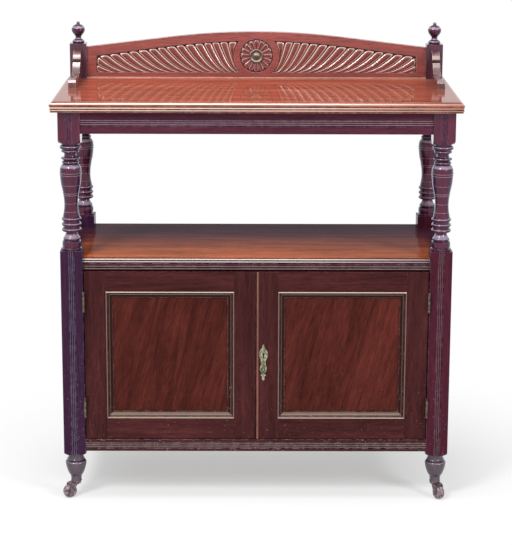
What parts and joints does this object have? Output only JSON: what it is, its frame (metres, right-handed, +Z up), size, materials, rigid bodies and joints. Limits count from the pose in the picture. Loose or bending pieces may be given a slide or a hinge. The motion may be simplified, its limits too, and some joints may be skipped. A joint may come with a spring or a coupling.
{
  "type": "chiffonier",
  "caption": "Victorian mahogany chiffonier: carved gallery, top on turned columns over an open tier, and a two-door cupboard below on turned feet with casters.",
  "frame": {"origin": "on the floor under the middle of the top board", "axes": "+Z up, -Y towards the doors (front), +X to the right as seen from the front"},
  "size_m": [1.07, 0.488, 1.246],
  "materials": {
    "polished_mahogany": "French polished, glossy",
    "dark_mahogany": "French polished, dark",
    "figured_mahogany": "French polished, figured veneer",
    "carcass_wood": "stained, unpolished",
    "aged_brass_casting": "worn cast brass",
    "glazed_ceramic": "brown glazed ceramic",
    "dark_brass": "darkened brass",
    "plain_brass": "plain brass",
    "verdigris_brass": "aged brass with verdigris"
  },
  "bodies": {
    "carcass": {"back_boards": "carcass_wood", "bottom_board": "carcass_wood", "bottom_rail": "dark_mahogany", "caster_sockets": "aged_brass_casting", "column_back_left": "dark_mahogany", "column_back_right": "dark_mahogany", "column_front_left": "dark_mahogany", "column_front_right": "dark_mahogany", "cupboard_top_rail": "dark_mahogany", "finial_left": "dark_mahogany", "finial_right": "dark_mahogany", "fixed_hinges": "dark_brass", "foot_back_left": "dark_mahogany", "foot_back_right": "dark_mahogany", "foot_front_left": "dark_mahogany", "foot_front_right": "dark_mahogany", "frieze_rail_back": "carcass_wood", "frieze_rail_front": "dark_mahogany", "frieze_rail_left": "dark_mahogany", "frieze_rail_right": "dark_mahogany", "gallery_panel": "polished_mahogany", "gallery_post_left": "dark_mahogany", "gallery_post_right": "dark_mahogany", "inner_shelf": "carcass_wood", "post_back_left": "dark_mahogany", "post_back_right": "dark_mahogany", "post_front_left": "dark_mahogany", "post_front_right": "dark_mahogany", "scroll_bracket_left": "dark_mahogany", "scroll_bracket_right": "dark_mahogany", "shelf_bearers": "carcass_wood", "shelf_board": "polished_mahogany", "side_panel_left": "dark_mahogany", "side_panel_right": "dark_mahogany", "top_board": "polished_mahogany"},
    "door_left": {"bolt_guides": "plain_brass", "door_left_frame": "dark_mahogany", "door_left_hinges": "dark_brass", "door_left_moulding": "dark_mahogany", "door_left_panel": "figured_mahogany"},
    "bottom_bolt": {"bottom_bolt": "plain_brass"},
    "swivel_back_left": {"caster_horn_back_left": "aged_brass_casting"},
    "swivel_back_right": {"caster_horn_back_right": "aged_brass_casting"},
    "swivel_front_left": {"caster_horn_front_left": "aged_brass_casting"},
    "swivel_front_right": {"caster_horn_front_right": "aged_brass_casting"},
    "wheel_back_left": {"caster_wheel_back_left": "glazed_ceramic"},
    "wheel_back_right": {"caster_wheel_back_right": "glazed_ceramic"},
    "wheel_front_left": {"caster_wheel_front_left": "glazed_ceramic"},
    "wheel_front_right": {"caster_wheel_front_right": "glazed_ceramic"},
    "door_right": {"door_right_frame": "dark_mahogany", "door_right_hinges": "dark_brass", "door_right_moulding": "dark_mahogany", "door_right_panel": "figured_mahogany", "escutcheon": "verdigris_brass", "lock_case": "plain_brass", "meeting_bead": "dark_mahogany"},
    "drop_handle": {"drop_handle": "verdigris_brass"},
    "lock_bolt": {"lock_bolt": "plain_brass"},
    "top_bolt": {"top_bolt": "plain_brass"}
  },
  "joints": [
    {"name": "door_left_hinge", "type": "hinge", "parent": "carcass", "child": "door_left", "pos_m": [-0.4569, -0.2229, 0.403], "axis": [0, 0, -1], "range_deg": [0, 170]},
    {"name": "door_right_hinge", "type": "hinge", "parent": "carcass", "child": "door_right", "pos_m": [0.4569, -0.2229, 0.403], "axis": [0, 0, 1], "range_deg": [0, 170]},
    {"name": "drop_handle_swing", "type": "hinge", "parent": "door_right", "child": "drop_handle", "pos_m": [0.0194, -0.2212, 0.386], "axis": [-1, 0, 0], "range_deg": [0, 85]},
    {"name": "lock_bolt_slide", "type": "slide", "parent": "door_right", "child": "lock_bolt", "axis": [-1, 0, 0], "range_m": [0, 0.01]},
    {"name": "top_bolt_slide", "type": "slide", "parent": "door_left", "child": "top_bolt", "axis": [0, 0, 1], "range_m": [0, 0.011]},
    {"name": "bottom_bolt_slide", "type": "slide", "parent": "door_left", "child": "bottom_bolt", "axis": [0, 0, -1], "range_m": [0, 0.011]},
    {"name": "swivel_front_left_turn", "type": "hinge", "parent": "carcass", "child": "swivel_front_left", "pos_m": [-0.487, -0.19, 0.04], "axis": [0, 0, 1], "continuous": true},
    {"name": "wheel_front_left_roll", "type": "hinge", "parent": "swivel_front_left", "child": "wheel_front_left", "pos_m": [-0.50396, -0.2006, 0.019], "axis": [0.5299, -0.848, 0], "continuous": true},
    {"name": "swivel_front_right_turn", "type": "hinge", "parent": "carcass", "child": "swivel_front_right", "pos_m": [0.487, -0.19, 0.04], "axis": [0, 0, 1], "continuous": true},
    {"name": "wheel_front_right_roll", "type": "hinge", "parent": "swivel_front_right", "child": "wheel_front_right", "pos_m": [0.49608, -0.20782, 0.019], "axis": [0.891, 0.454, 0], "continuous": true},
    {"name": "swivel_back_left_turn", "type": "hinge", "parent": "carcass", "child": "swivel_back_left", "pos_m": [-0.487, 0.202, 0.04], "axis": [0, 0, 1], "continuous": true},
    {"name": "wheel_back_left_roll", "type": "hinge", "parent": "swivel_back_left", "child": "wheel_back_left", "pos_m": [-0.49318, 0.22102, 0.019], "axis": [-0.9511, -0.309, 0], "continuous": true},
    {"name": "swivel_back_right_turn", "type": "hinge", "parent": "carcass", "child": "swivel_back_right", "pos_m": [0.487, 0.202, 0.04], "axis": [0, 0, 1], "continuous": true},
    {"name": "wheel_back_right_roll", "type": "hinge", "parent": "swivel_back_right", "child": "wheel_back_right", "pos_m": [0.49184, 0.22141, 0.019], "axis": [-0.9703, 0.2419, 0], "continuous": true}
  ]
}
